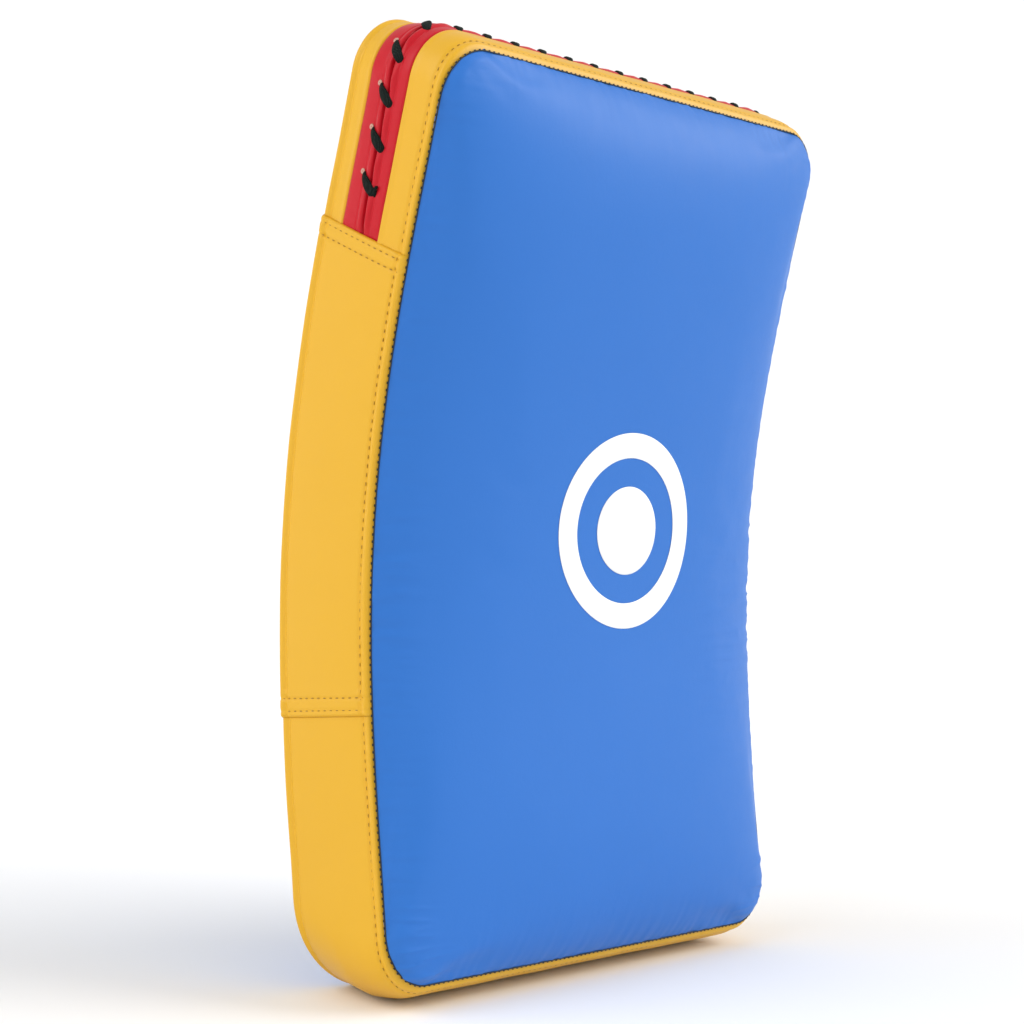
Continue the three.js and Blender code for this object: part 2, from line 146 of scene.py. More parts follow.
def curve_at(s):
    q = s / CURVE_LENGTH
    rate = 1.5 * CURVE_ANGLE
    lean = rate * (q - q**3 / 3)
    y = -rate * CURVE_LENGTH * (q**2 / 2 - q**4 / 12)
    z = s - rate**2 * CURVE_LENGTH / 2 * (q**3 / 3 - 2 * q**5 / 15 + q**7 / 63)
    return lean, y, z


def swell(n):
    return 1 - np.exp(-np.maximum(n, 0) / SWELL_DEPTH)


def half_width(n):
    return SEAM_HALF_WIDTH + SIDE_SWELL * swell(n) - SIDE_TAPER * (np.maximum(n, 0) / DEPTH) ** 2


def free_half_length(n):
    return SEAM_HALF_LENGTH + END_SWELL * swell(n) + END_SPREAD * np.maximum(n, 0) / DEPTH


def height_of(s, n):
    lean, _, z = curve_at(s)
    return z + n * np.sin(lean)


FLOOR = height_of(-free_half_length(DEPTH), DEPTH) + FOOT_CUT
SEAM_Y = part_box("front_panel")[1].y  # the front seam's depth in the row frame, at mid height


def place(u, s, n):
    """Points in the row frame, in metres, as an array whose last axis is x, y, z."""
    u, s, n = np.broadcast_arrays(np.asarray(u, float), s, n)
    lean, y, z = curve_at(s)
    return np.stack(
        [u * MM, SEAM_Y + (y + n * np.cos(lean)) * MM, (z + n * np.sin(lean) - FLOOR) * MM], -1
    )


def half_length(n, end):
    """Half the length at depth n; at the bottom it is shortened where the floor presses the foot."""
    length = free_half_length(n)
    if end > 0:
        return length
    for _ in range(5):
        short = np.maximum(FLOOR - height_of(-length, n), 0)
        length = length - short
    return length


def corner_radius(n, end):
    back = BACK_CORNER_TOP if end > 0 else BACK_CORNER_BOTTOM
    return FRONT_CORNER + (back - FRONT_CORNER) * np.maximum(n, 0) / DEPTH


def inside_outline(a, c, n, inset=0.0):
    """u and s of the outline's point at a across and c along it, both from -1 to 1."""
    length = np.where(c < 0, half_length(n, -1), half_length(n, 1)) - inset
    radius = np.where(c < 0, corner_radius(n, -1), corner_radius(n, 1)) - inset
    width = half_width(n) - inset
    s = c * length
    into = np.clip(np.abs(s) - (length - radius), 0, radius)
    return a * (width - radius + np.sqrt(radius**2 - into**2)), s


def inside_seam(u, s):
    """How far a point lies inside the front seam."""
    x = np.abs(u) - (SEAM_HALF_WIDTH - FRONT_CORNER)
    y = np.abs(s) - (SEAM_HALF_LENGTH - FRONT_CORNER)
    outside = np.hypot(np.maximum(x, 0), np.maximum(y, 0))
    return FRONT_CORNER - outside - np.minimum(np.maximum(x, y), 0)


def dome(u, s, n):
    return np.maximum(1 - (u / half_width(n)) ** 2, 0) * np.maximum(1 - (s / free_half_length(n)) ** 4, 0)


def front_face(u, s):
    """Depth of the struck face: its rounded edge, then the slow rise to the middle."""
    inside = np.maximum(inside_seam(u, s), 0)
    edge = np.minimum(inside / EDGE_WIDTH, 1)
    lip = SKIN * (1 - np.exp(-inside / SEAM_LIP))
    return -lip - EDGE_RISE * (1 - (1 - edge) ** 2) - FRONT_CROWN * dome(u, s, 0)


def back_face(u, s):
    return DEPTH + BACK_CROWN * dome(u, s, DEPTH)


def on_back(u, s, d):
    return place(u, s, back_face(u, s) + SKIN + d)


def round_end(end, distance, n):
    """u, s and the outward direction of the edge band, followed from the middle of one end."""
    side = np.where(distance < 0, -1.0, 1.0)
    travelled = np.abs(distance)
    flat = SEAM_HALF_WIDTH - FRONT_CORNER
    arc = FRONT_CORNER * math.pi / 2
    width, length, radius = half_width(n), half_length(n, end), corner_radius(n, end)
    angle = np.clip((travelled - flat) / arc, 0, 1) * math.pi / 2
    down = np.maximum(travelled - flat - arc, 0)
    along = np.minimum(travelled / flat, 1) * (width - radius)
    u = side * (along + radius * np.sin(angle))
    s = end * (length - radius + radius * np.cos(angle) - down)
    return u, s, side * np.sin(angle), end * np.cos(angle)


# Mesh building ----------------------------------------------------------------------------------------


def spread(count):
    """Steps from -1 to 1, closer together towards both ends."""
    return np.sin(np.linspace(-1, 1, count) * math.pi / 2)


def bell(x, middle, width):
    """1 at the middle, and almost nothing two widths away from it."""
    return np.exp(-(((x - middle) / width) ** 2))


def ripple(points, size, seed):
    """Smooth noise from -1 to 1 at points in metres; size is the length of its waves in mm."""
    flat = points.reshape(-1, 3) / (size * MM)
    shift = Vector((seed * 17.3, seed * 5.1, seed * 29.7))
    values = [noise.noise(Vector(p) + shift) for p in flat]
    return np.array(values).reshape(points.shape[:-1])


def new_object(name, vertices, faces, material):
    mesh = bpy.data.meshes.new(name)
    mesh.from_pydata(vertices, [], faces)
    obj = bpy.data.objects.new(name, mesh)
    bpy.context.collection.objects.link(obj)
    mesh.materials.append(material)
    mesh.shade_smooth()
    return obj


def grid_faces(rows, columns, wrap_rows=False, wrap_columns=False, start=0):
    """The faces between the points of a grid, whose first point is number start."""
    faces = []
    for i in range(rows if wrap_rows else rows - 1):
        for j in range(columns if wrap_columns else columns - 1):
            here = start + i * columns
            there = start + (i + 1) % rows * columns
            across = (j + 1) % columns
            faces.append((here + j, there + j, there + across, here + across))
    return faces


def tube_faces(count, sides, start=0):
    """The faces of a closed tube of count rings, capped at both ends."""
    last = start + (count - 1) * sides
    faces = grid_faces(count, sides, wrap_columns=True, start=start)
    faces.append(tuple(range(start, start + sides)))
    faces.append(tuple(range(last + sides - 1, last - 1, -1)))
    return faces


def grid_object(name, points, material):
    """A sheet without thickness, from a grid of points."""
    return new_object(name, points.reshape(-1, 3).tolist(), grid_faces(*points.shape[:2]), material)


def tube_object(name, rings, material):
    """A closed tube through rings of points."""
    return new_object(name, rings.reshape(-1, 3).tolist(), tube_faces(*rings.shape[:2]), material)


def thicken(obj, thickness=COVER):
    """Gives a sheet its thickness, behind its outer face."""
    solid = obj.modifiers.new("thickness", "SOLIDIFY")
    solid.thickness = thickness * MM
    solid.offset = -1


def sheet_object(name, points, material, thickness=COVER):
    """A sheet of cover material from a grid of points on its outer face."""
    obj = grid_object(name, points, material)
    thicken(obj, thickness)
    return obj


def facing(points, outward):
    """The grid, turned so that its faces look outward."""
    row, column = points.shape[0] // 2, points.shape[1] // 2
    middle = points[row, column]
    first = points[row + 1, column] - middle
    second = points[row, column + 1] - middle
    return points if np.dot(np.cross(first, second), outward) > 0 else points[:, ::-1]


def unit(vectors):
    return vectors / np.linalg.norm(vectors, axis=1)[:, None]


def run_along(path):
    """The distance from a path's start to each of its points."""
    return np.concatenate([[0], np.cumsum(np.linalg.norm(np.diff(path, axis=0), axis=1))])


def round_cord(name, path, right, up, radius, sides, material):
    """A round cord along a path; right and up span its section, and radius is in metres."""
    angles = np.linspace(0, 2 * math.pi, sides, endpoint=False)
    rings = np.array([path + (right * math.cos(a) + up * math.sin(a)) * radius for a in angles])
    return tube_object(name, rings.transpose(1, 0, 2), material)


def smooth_path(points, step):
    """Catmull-Rom through points, then evenly spaced by about step."""
    knots = np.array(points, float)
    padded = np.vstack([2 * knots[0] - knots[1], knots, 2 * knots[-1] - knots[-2]])
    dense = []
    for p0, p1, p2, p3 in zip(padded, padded[1:], padded[2:], padded[3:]):
        for t in np.linspace(0, 1, 24, endpoint=False):
            dense.append(0.5 * (2 * p1 + (p2 - p0) * t + (2 * p0 - 5 * p1 + 4 * p2 - p3) * t**2
                                + (3 * p1 - p0 - 3 * p2 + p3) * t**3))
    dense.append(knots[-1])
    dense = np.array(dense)
    run = run_along(dense)
    even = np.linspace(0, run[-1], max(int(run[-1] / step), 2) + 1)
    return np.stack([np.interp(even, run, dense[:, k]) for k in range(dense.shape[1])], -1)


def stitch_rings(points, radius):
    """The rings of one stitch through its points, thinner at its two ends."""
    axis = Vector(points[-1] - points[0]).normalized()
    right = axis.orthogonal().normalized()
    up = axis.cross(right)
    vertices = []
    for point, (_, size) in zip(points, STITCH_PROFILE):
        for m in range(STITCH_SIDES):
            angle = 2 * math.pi * m / STITCH_SIDES
            offset = (right * math.cos(angle) + up * math.sin(angle)) * radius * size * MM
            vertices.append(tuple(Vector(point) + offset))
    return vertices


def stitches(name, lines, material, length=2.3, radius=0.34, pitch=STITCH_PITCH):
    """Rows of thread stitches along lines of points in metres, each a short rounded bar."""
    vertices, faces = [], []
    for line in lines:
        run = run_along(line)
        for k in range(int(run[-1] / (pitch * MM))):
            centre = (k + 0.5) * pitch * MM
            points = [np.array([np.interp(centre + share * length * MM, run, line[:, j]) for j in range(3)])
                      for share, _ in STITCH_PROFILE]
            faces += tube_faces(len(STITCH_PROFILE), STITCH_SIDES, start=len(vertices))
            vertices += stitch_rings(points, radius)
    return new_object(name, vertices, faces, material)


# Materials --------------------------------------------------------------------------------------------


MIX_FACTOR, MIX_FIRST, MIX_SECOND = 0, 6, 7  # the colour mix node's inputs, which share their names
MIX_COLOUR = 2


class Nodes:
    """Shorthand for building one material's node tree."""

    def __init__(self, name):
        self.material = bpy.data.materials.new(name)
        self.material.use_nodes = True
        self.tree = self.material.node_tree
        self.shader = self.tree.nodes["Principled BSDF"]
        self.coordinates = self.add("ShaderNodeTexCoord").outputs["Object"]

    def feed(self, socket, value):
        """Links a socket to another one, or sets its value."""
        if isinstance(value, bpy.types.NodeSocket):
            self.tree.links.new(value, socket)
        else:
            socket.default_value = value

    def add(self, kind, **inputs):
        node = self.tree.nodes.new(kind)
        for key, value in inputs.items():
            self.feed(node.inputs[key.replace("_", " ")], value)
        return node

    def texture(self, kind, scale, **inputs):
        return self.add(kind, Vector=self.coordinates, Scale=scale, **inputs)

    def mix(self, factor, first, second):
        node = self.tree.nodes.new("ShaderNodeMix")
        node.data_type = "RGBA"
        for number, value in ((MIX_FACTOR, factor), (MIX_FIRST, first), (MIX_SECOND, second)):
            self.feed(node.inputs[number], value)
        return node.outputs[MIX_COLOUR]

    def between(self, value, low, high):
        node = self.add("ShaderNodeMapRange", Value=value, To_Min=low, To_Max=high)
        return node.outputs["Result"]

    def set(self, **inputs):
        for key, value in inputs.items():
            self.feed(self.shader.inputs[key.replace("_", " ")], value)

    def bump(self, height, strength, distance, under=None):
        node = self.add("ShaderNodeBump", Height=height, Strength=strength, Distance=distance)
        if under is not None:
            self.tree.links.new(under, node.inputs["Normal"])
        return node.outputs["Normal"]


def rgb(red, green, blue):
    return (red, green, blue, 1.0)


def leather(name, base, deep, roughness=0.4, crease=0.25, shine=0.36):
    """Satin polyurethane leather: fine pebble grain, faint creases and slow colour variation."""
    nodes = Nodes(name)
    tone = nodes.texture("ShaderNodeTexNoise", 9.0, Detail=3.0).outputs["Fac"]
    nodes.set(Base_Color=nodes.mix(nodes.between(tone, 0.0, 0.55), base, deep))
    wear = nodes.texture("ShaderNodeTexNoise", 60.0, Detail=4.0).outputs["Fac"]
    nodes.set(Roughness=nodes.between(wear, roughness - 0.05, roughness + 0.07))
    pebble = nodes.texture("ShaderNodeTexVoronoi", 1100.0).outputs["Distance"]
    grain = nodes.bump(pebble, 0.22, 0.0001)
    lines = nodes.texture("ShaderNodeTexNoise", 140.0, Detail=5.0, Roughness=0.65, Distortion=0.6)
    nodes.set(Normal=nodes.bump(lines.outputs["Fac"], crease, 0.0004, under=grain))
    nodes.shader.inputs["Specular IOR Level"].default_value = shine
    nodes.shader.inputs["Coat Weight"].default_value = 0.05
    nodes.shader.inputs["Coat Roughness"].default_value = 0.35
    return nodes.material


def printed_film():
    nodes = Nodes("white_print")
    tone = nodes.texture("ShaderNodeTexNoise", 40.0, Detail=3.0).outputs["Fac"]
    nodes.set(Base_Color=nodes.mix(tone, rgb(0.90, 0.92, 0.91), rgb(0.96, 0.975, 0.97)))
    nodes.set(Roughness=nodes.between(tone, 0.42, 0.5))
    pebble = nodes.texture("ShaderNodeTexVoronoi", 1100.0).outputs["Distance"]
    nodes.set(Normal=nodes.bump(pebble, 0.12, 0.0001))
    return nodes.material


def thread(name, base, deep):
    nodes = Nodes(name)
    twist = nodes.texture("ShaderNodeTexWave", 900.0, Distortion=1.0).outputs["Fac"]
    nodes.set(Base_Color=nodes.mix(twist, deep, base), Roughness=0.6)
    nodes.set(Normal=nodes.bump(twist, 0.5, 0.0001))
    return nodes.material


def braided_cord():
    nodes = Nodes("lace_cord")
    braid = nodes.texture("ShaderNodeTexWave", 420.0, Distortion=2.5, Detail=2.0).outputs["Fac"]
    fibre = nodes.texture("ShaderNodeTexNoise", 1600.0, Detail=3.0).outputs["Fac"]
    colour = nodes.mix(braid, rgb(0.002, 0.005, 0.004), rgb(0.007, 0.014, 0.011))
    nodes.set(Base_Color=colour, Roughness=0.85)
    nodes.set(Normal=nodes.bump(fibre, 0.5, 0.0002, under=nodes.bump(braid, 0.8, 0.0004)))
    nodes.shader.inputs["Specular IOR Level"].default_value = 0.2
    return nodes.material


def woven_webbing():
    nodes = Nodes("webbing")
    ribs = nodes.texture("ShaderNodeTexWave", 260.0, Distortion=0.4).outputs["Fac"]
    yarn = nodes.texture("ShaderNodeTexBrick", 420.0).outputs["Fac"]
    fibre = nodes.texture("ShaderNodeTexNoise", 1500.0, Detail=3.0).outputs["Fac"]
    colour = nodes.mix(ribs, rgb(0.008, 0.008, 0.010), rgb(0.028, 0.029, 0.033))
    nodes.set(Base_Color=colour, Roughness=0.8)
    weave = nodes.bump(ribs, 0.7, 0.0004, under=nodes.bump(yarn, 0.4, 0.0003))
    nodes.set(Normal=nodes.bump(fibre, 0.4, 0.0001, under=weave))
    nodes.shader.inputs["Sheen Weight"].default_value = 0.25
    return nodes.material


def foam(name, base, deep, cell):
    nodes = Nodes(name)
    cells = nodes.texture("ShaderNodeTexVoronoi", cell).outputs["Distance"]
    nodes.set(Base_Color=nodes.mix(cells, deep, base), Roughness=0.9)
    nodes.set(Normal=nodes.bump(cells, 0.6, 0.0006))
    return nodes.material


BLUE = leather("blue_leather", rgb(0.030, 0.168, 0.565), rgb(0.025, 0.149, 0.515), 0.48, shine=0.2)
YELLOW = leather("yellow_leather", rgb(0.72, 0.395, 0.014), rgb(0.68, 0.362, 0.011), 0.42)
RED = leather("red_leather", rgb(0.53, 0.006, 0.016), rgb(0.45, 0.004, 0.012), 0.36, crease=0.4, shine=0.2)
BLACK = leather("black_leather", rgb(0.014, 0.014, 0.016), rgb(0.008, 0.008, 0.009), 0.5, crease=0.4)
WHITE = printed_film()
YELLOW_THREAD = thread("yellow_thread", rgb(0.45, 0.23, 0.012), rgb(0.26, 0.12, 0.008))
DARK_THREAD = thread("dark_thread", rgb(0.012, 0.02, 0.022), rgb(0.004, 0.007, 0.008))
BLACK_THREAD = thread("black_thread", rgb(0.05, 0.05, 0.055), rgb(0.02, 0.02, 0.022))
PUNCHED = leather("punched_edge", rgb(0.58, 0.33, 0.25), rgb(0.45, 0.24, 0.18), 0.7)
CORD = braided_cord()
WEBBING = woven_webbing()

# Struck face ------------------------------------------------------------------------------------------


def creases(points, size, seed):
    """Sparse sharp wrinkles, from 0 to 1."""
    return (1 - np.abs(ripple(points, size, seed))) ** 4


def face_wrinkles(u, s):
    """How far the cover of the struck face rises in fine wrinkles, in mm."""
    inside = np.maximum(inside_seam(u, s), 0)
    side = np.clip((np.abs(u) - SIDE_WRINKLES_START) / SIDE_WRINKLES_FADE, 0, 1)
    across = np.stack([u * WRINKLE_STRETCH, 0 * u, s], -1) * MM
    along = np.stack([u, 0 * u, s * WRINKLE_STRETCH], -1) * MM
    near_seam = np.exp(-inside / 14) * (1 - np.exp(-inside / 2))
    puckers = near_seam * (side * ripple(across, 5.0, 3) + (1 - side) * ripple(along, 5.0, 4))
    most_folded = bell(s, -45, 75) + bell(s, -255, 40)
    folds = side * bell(inside, 13, 14) * most_folded * creases(across, 8.0, 5)
    on_the_right = bell(u, 140, 40) * bell(s, -75, 60) * creases(across, 9.0, 6)
    return PUCKER_HEIGHT * puckers + FOLD_HEIGHT * folds + RIGHT_FOLD_HEIGHT * on_the_right


def points_and_normals(obj):
    vertices = obj.data.vertices
    return np.array([v.co for v in vertices]), np.array([v.normal for v in vertices])


def move_points(obj, points):
    obj.data.vertices.foreach_set("co", points.ravel())


def inflated(obj, held, pressure, cap):
    """Swells a piece as cloth under pressure, held at some vertices; no point moves past cap in mm."""
    scene = bpy.context.scene
    group = obj.vertex_groups.new(name="held")
    if held:
        group.add(held, 1.0, "REPLACE")
    rest = np.array([v.co for v in obj.data.vertices])
    cloth = obj.modifiers.new("cloth", "CLOTH")
    cloth.settings.quality = 5
    cloth.settings.use_pressure = True
    cloth.settings.uniform_pressure_force = pressure
    cloth.settings.vertex_group_mass = "held" if held else ""
    cloth.settings.effector_weights.gravity = 0
    cloth.point_cache.frame_start = 1
    cloth.point_cache.frame_end = SIMULATED_FRAMES
    for number in range(1, SIMULATED_FRAMES + 1):
        scene.frame_set(number)
    moved = obj.evaluated_get(bpy.context.evaluated_depsgraph_get()).to_mesh()
    shift = np.array([v.co for v in moved.vertices]) - rest
    obj.modifiers.remove(cloth)
    obj.vertex_groups.remove(group)
    scene.frame_set(1)
    length = np.linalg.norm(shift, axis=1)[:, None]
    shift *= np.minimum(1, cap * MM / np.maximum(length, 1e-9))
    move_points(obj, rest + shift)


def applied(obj, modifier):
    """Turns what a modifier does into the piece's own mesh."""
    mesh = bpy.data.meshes.new_from_object(obj.evaluated_get(bpy.context.evaluated_depsgraph_get()))
    obj.modifiers.remove(modifier)
    obj.data = mesh


def subdivided(obj, levels):
    subdivision = obj.modifiers.new("subdivision", "SUBSURF")
    subdivision.levels = levels
    subdivision.boundary_smooth = "PRESERVE_CORNERS"
    applied(obj, subdivision)


def puffed(obj, voxel, cap):
    remesh = obj.modifiers.new("remesh", "REMESH")
    remesh.mode = "VOXEL"
    remesh.voxel_size = voxel * MM
    applied(obj, remesh)
    inflated(obj, [], PAD_PRESSURE, cap)
    subdivided(obj, 1)
    obj.data.shade_smooth()


def wrinkled(obj, height, size, seed):
    """Fine creases pressed into a piece along its normals; height and size are in mm."""
    points, normals = points_and_normals(obj)
    depth = height * MM * creases(points * (0.5, 1.0, 1.0), size, seed)
    move_points(obj, points - normals * depth[:, None])


def rounded_off(n, inside):
    """Softens the ridge that runs in from each corner, and leaves the seam where it is."""
    free = np.clip((inside - SEAM_STAYS) / SEAM_FREES, 0, 1)[1:-1, 1:-1]
    for _ in range(ROUNDING_PASSES):
        mean = (n[:-2, 1:-1] + n[2:, 1:-1] + n[1:-1, :-2] + n[1:-1, 2:]) / 4
        n[1:-1, 1:-1] += free * (mean - n[1:-1, 1:-1])
    return n


def front_panel():
    """The struck face, and its surface for the target to lie on."""
    a, c = np.meshgrid(spread(61), spread(111), indexing="ij")
    u, s = inside_outline(a, c, 0.0)
    n = rounded_off(front_face(u, s), inside_seam(u, s)) + 0.35 * ripple(place(u, s, 0 * u), 75, 1)
    points = facing(place(u, s, n), (0, -1, 0))
    obj = grid_object("front_cover", points, BLUE)
    index = np.arange(points[..., 0].size).reshape(points.shape[:2])
    rim = np.concatenate([index[0], index[-1], index[1:-1, 0], index[1:-1, -1]])
    inflated(obj, rim.tolist(), FACE_PRESSURE, FACE_CAP)
    subdivided(obj, 2)
    points, normals = points_and_normals(obj)
    height = points[:, 2] / MM + FLOOR  # close to s, as the curve is shallow
    points += normals * (face_wrinkles(points[:, 0] / MM, height) * MM)[:, None]
    move_points(obj, points)
    surface = BVHTree.FromPolygons([Vector(p) for p in points], [p.vertices[:] for p in obj.data.polygons])
    thicken(obj)
    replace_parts(obj, "front_panel")
    return obj, surface


def back_panel():
    a, c = np.meshgrid(spread(91), spread(131), indexing="ij")
    u, s = inside_outline(a, c, DEPTH, BACK_RIM_INSET)
    edge = (1 - np.abs(a)) * SEAM_HALF_WIDTH
    rim = np.exp(-np.minimum(edge, (1 - np.abs(c)) * SEAM_HALF_LENGTH) / 5)
    flat = place(u, s, DEPTH)
    n = back_face(u, s) + SKIN * (1 - rim) - BACK_RIM_TUCK * rim + 0.6 * ripple(flat, 60, 7) * (1 - rim)
    obj = sheet_object("back_cover", facing(place(u, s, n), (0, 1, 0)), BLUE)
    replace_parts(obj, "back_panel")
    return obj


def target(name, inner, outer, node, surface):
    """Printed film that lies on the struck face."""
    radius = np.linspace(max(inner, PRINT_START), outer, 16)
    angle = np.linspace(0, 2 * math.pi, 144, endpoint=False)
    r, t = np.meshgrid(radius, angle, indexing="ij")
    u, s = TARGET_ACROSS + r * np.cos(t), TARGET_CENTRE + r * np.sin(t)
    start = place(u, s, -3 * EDGE_RISE).reshape(-1, 3)
    vertices = []
    for point in start:
        hit, normal, _, _ = surface.ray_cast(Vector(point), Vector((0, 1, 0)))
        vertices.append(tuple(hit + normal * PRINT_FILM * MM))
    faces = grid_faces(len(radius), len(angle), wrap_columns=True)
    if inner == 0:
        faces.append(tuple(range(len(angle))))
    obj = new_object(name, vertices, faces, WHITE)
    obj.data.flip_normals()
    thicken(obj, PRINT_FILM)
    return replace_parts(obj, node)


# Edge band --------------------------------------------------------------------------------------------


def seam_roll(edge):
    """Lift of the band near a seam: tucked in at the edge, rolled up, then drawn in by the stitching."""
    tuck = -2.4 * bell(edge, 0, 1.3)
    roll = bell(edge, 3.2, 2.0)
    drawn = -0.7 * bell(edge, TOP_STITCH, 1.2)
    return tuck + roll + drawn


def stitch_pucker(along, edge, row=TOP_STITCH, depth=0.22):
    """The little waves that a row of stitches draws into soft material."""
    return -depth * np.cos(2 * math.pi * along / STITCH_PITCH) * bell(edge, row, 2.2)


def end_points(end, distance, n, lift):
    """Points on the band round one end, lifted outwards; on the floor they stay flat."""
    u, s, out_u, out_s = round_end(end, distance, n)
    if end < 0:
        foot = np.clip(1 - (height_of(s, n) - FLOOR) / 3, 0, 1)
        lift = np.where(out_s < -0.9, np.minimum(lift, 0) * foot + lift * (1 - foot), lift)
        lift = np.maximum(lift, -3.0)
    points = place(u + lift * out_u, s + lift * out_s, n)
    points[..., 2] = np.maximum(points[..., 2], 0.0)
    return points


def end_strip(name, end, reach, depths, lift, node):
    distance, n = np.meshgrid(reach, depths, indexing="ij")
    flat = end_points(end, distance, n, 0)
    points = end_points(end, distance, n, lift(distance, n, flat))
    obj = sheet_object(name, facing(points, (0, 0, end)), YELLOW)
    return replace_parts(obj, node)


def reach_to(s_end, end, step=2.2):
    """Distances along a band whose two ends lie under the side panels at s_end."""
    flat = SEAM_HALF_WIDTH - FRONT_CORNER
    arc = FRONT_CORNER * math.pi / 2
    far = flat + arc + SEAM_HALF_LENGTH - FRONT_CORNER - end * s_end
    return np.linspace(-far, far, int(2 * far / step))


def bottom_gusset():
    def lift(distance, n, flat):
        return (seam_roll(n) + seam_roll(DEPTH - n) + stitch_pucker(distance, n)
                + stitch_pucker(distance, DEPTH - n) + 0.5 * ripple(flat, 45, 11))

    depths = np.concatenate([np.linspace(0, 12, 22), np.linspace(14, 66, 22), np.linspace(68, DEPTH, 22)])
    reach = reach_to(SIDE_PANEL_BOTTOM + PANEL_OVERLAP, -1)
    return end_strip("bottom_band", -1, reach, depths, lift, "gusset_bottom")


def top_strips():
    reach = reach_to(SIDE_PANEL_TOP - PANEL_OVERLAP, 1)
    front_depths = np.linspace(0, FRONT_STRIP_END + 0.2, 38)
    back_depths = np.linspace(BACK_STRIP_START - 0.2, DEPTH, 30)

    def front_lift(distance, n, flat):
        edge = n - FRONT_STRIP_END
        fold = 0.7 * bell(edge, -2, 2.0) - 1.6 * bell(edge, 0.4, 0.9)
        return seam_roll(n) + stitch_pucker(distance, n) + fold + 0.35 * ripple(flat, 35, 12)

    def back_lift(distance, n, flat):
        edge = n - BACK_STRIP_START
        fold = 0.5 * bell(edge, 2, 1.8) - 1.4 * bell(edge, -0.2, 0.8)
        return (seam_roll(DEPTH - n) + stitch_pucker(distance, DEPTH - n) + fold
                + 0.35 * ripple(flat, 35, 13))

    return [
        end_strip("top_front_strip", 1, reach, front_depths, front_lift, "gusset_top_front"),
        end_strip("top_back_strip", 1, reach, back_depths, back_lift, "gusset_top_back"),
    ]


def pulled(distance):
    """1 where a turn of the lace draws the slit together, 0 half way between turns."""
    phase = (distance - slit_hole(0, HOLE_FRONT)) / LACE_PITCH
    return 0.5 + 0.5 * np.cos(2 * math.pi * phase - 0.6)


def slit_hole(turn, n):
    """Distance along the band of a turn's hole in the back flap, or in the front one."""
    first = (LACE_SLANT + LACE_TURNS * LACE_PITCH) / 2 - turn * LACE_PITCH
    return first if n == HOLE_BACK else first - LACE_SLANT


def flaps():
    reach = reach_to(SIDE_PANEL_TOP - PANEL_OVERLAP, 1, step=1.4)
    front_depths = np.linspace(FRONT_STRIP_END - 0.4, SLIT - 0.1, 34)
    back_depths = np.linspace(SLIT + 0.1, BACK_STRIP_START + 0.4, 44)

    def wave(distance):
        return 0.9 * np.sin(2 * math.pi * distance / LACE_PITCH) * (0.4 + 0.6 * pulled(distance))

    def make(name, depths, lip_side, seed, node, tall):
        distance, n = np.meshgrid(reach, depths, indexing="ij")
        lip = (SLIT - n) * lip_side
        tight = pulled(distance)
        flat = end_points(1, distance, n, 0)
        rolled = tall * bell(lip, 3.0, 2.4) * (1.25 - 0.6 * tight)
        tucked = -3.6 * bell(lip, 0, 1.1)
        crease = -0.5 * bell(lip, 6.2, 0.8)
        pucker = 0.55 * ripple(flat, 9, seed) * np.exp(-lip / 6) + 0.35 * ripple(flat, 16, seed + 1)
        ends = bell(n, depths[0], 0.8) + bell(n, depths[-1], 0.8)
        outer = np.abs(n - (depths[0] if lip_side > 0 else depths[-1]))
        proud = FLAP_LIFT * (1 - np.exp(-outer / 2.5))
        under = np.clip((reach[-1] - HEM_COVER - np.abs(distance)) / 8 + 1, 0, 1)
        lift = rolled + tucked + crease + pucker + proud - 0.5 * ends * (lip > 4)
        lift = lift * under - 1.2 * (1 - under)
        shifted = n + wave(distance) * np.exp(-lip / 5)
        points = end_points(1, distance, shifted, lift)
        obj = sheet_object(name, facing(points, (0, 0, 1)), RED, thickness=1.1)
        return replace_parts(obj, node)

    return [
        make("front_flap", front_depths, 1, 21, "lacing_flap_front", 1.5),
        make("back_flap", back_depths, -1, 23, "lacing_flap_back", 0.8),
    ]


def panel_top(n):
    """The s at which a side panel's slanting upper hem lies at depth n."""
    return SIDE_PANEL_TOP + SIDE_PANEL_SLANT * n / DEPTH


def side_points(side, s, n, lift):
    return place(side * (half_width(n) + lift), s, n)


def side_panel(side, name, node):
    t = np.concatenate([np.linspace(0, 0.06, 26), np.linspace(0.065, 0.935, 110), np.linspace(0.94, 1, 26)])
    depths = np.concatenate([np.linspace(0, 12, 26), np.linspace(14, 66, 24), np.linspace(68, DEPTH, 26)])
    t, n = np.meshgrid(t, depths, indexing="ij")
    s = SIDE_PANEL_BOTTOM + (panel_top(n) - SIDE_PANEL_BOTTOM) * t
    hem = np.minimum(s - SIDE_PANEL_BOTTOM, panel_top(n) - s)
    fold = -SIDE_PANEL_LIFT * bell(hem, 0, 0.8) + 0.5 * bell(hem, 6, 6.0)
    rows = sum(-0.45 * bell(hem, row, 0.9) + stitch_pucker(n, hem, row, 0.15) for row in HEM_ROWS)
    lift = (SIDE_PANEL_LIFT + fold + rows + seam_roll(n) + seam_roll(DEPTH - n) + stitch_pucker(s, n)
            + stitch_pucker(s, DEPTH - n) + 0.6 * ripple(side_points(side, s, n, 0), 55, 31))
    obj = sheet_object(name, facing(side_points(side, s, n, lift), (side, 0, 0)), YELLOW)
    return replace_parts(obj, node)


# Stitching --------------------------------------------------------------------------------------------


